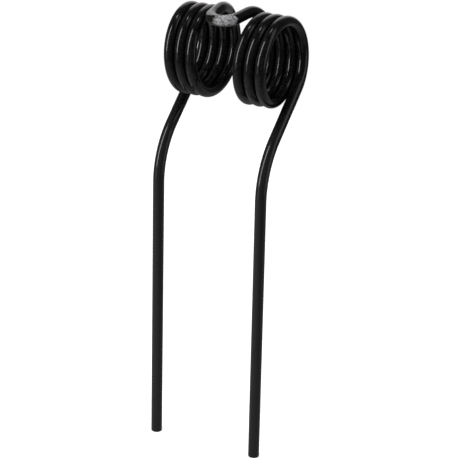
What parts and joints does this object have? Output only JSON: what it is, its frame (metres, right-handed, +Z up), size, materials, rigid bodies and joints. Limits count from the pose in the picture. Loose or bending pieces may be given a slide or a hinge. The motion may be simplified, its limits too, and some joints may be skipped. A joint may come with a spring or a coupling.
{
  "type": "cultivator spring tine",
  "caption": "Double torsion-coil spring tine bent from round steel wire, with a bolt eye between the coils and a pair of long upright legs.",
  "frame": {"origin": "centre of the bolt eye, where the axis of its bolt crosses the plane of the bent wire's centreline", "axes": "+X along the axis of both coils, -Y towards the front of the eye, +Z up, with both legs hanging straight down"},
  "size_m": [0.1324, 0.103, 0.4785],
  "materials": {
    "black_paint": "glossy black paint over spring steel, rubbed through to speckled grey on the front of the eye"
  },
  "bodies": {
    "root": {"spring_tine": "black_paint"}
  },
  "joints": []
}
